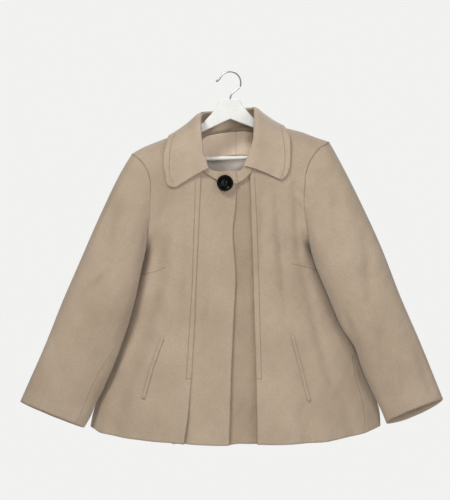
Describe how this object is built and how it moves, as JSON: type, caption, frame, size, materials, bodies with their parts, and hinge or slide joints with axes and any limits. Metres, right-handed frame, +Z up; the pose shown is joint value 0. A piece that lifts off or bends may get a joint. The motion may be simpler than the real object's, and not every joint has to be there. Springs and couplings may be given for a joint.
{
  "type": "swing coat on a hanger",
  "caption": "Flared wool swing coat hanging on a painted wooden hanger, with a rounded collar, stitched front pleats, a buttoned neck and welt pockets.",
  "frame": {"origin": "inside top of the hanger's hook, where a rail or nail carries it", "axes": "+Z up, the coat's front faces -Y, +X towards the coat's left side"},
  "size_m": [0.8998, 0.189, 0.7948],
  "materials": {
    "shell": "matt brushed wool cloth, beige",
    "lining": "smooth lining cloth, grey, slight sheen",
    "button": "gloss black",
    "hanger": "satin white paint",
    "hook": "dull steel wire"
  },
  "bodies": {
    "root": {"front_right_side": "shell", "front_right_centre": "shell", "front_left_side": "shell", "front_left_centre": "shell", "back_right": "shell", "back_left": "shell", "sleeve_right_upper": "shell", "sleeve_right_under": "shell", "sleeve_left_upper": "shell", "sleeve_left_under": "shell", "collar_stand": "shell", "collar_fall": "shell", "neck_facing": "shell", "back_lining": "lining", "welt_right": "shell", "welt_left": "shell", "button": "button", "hanger_wood": "hanger", "hanger_bar": "hanger", "hanger_hook": "hook"}
  },
  "joints": []
}
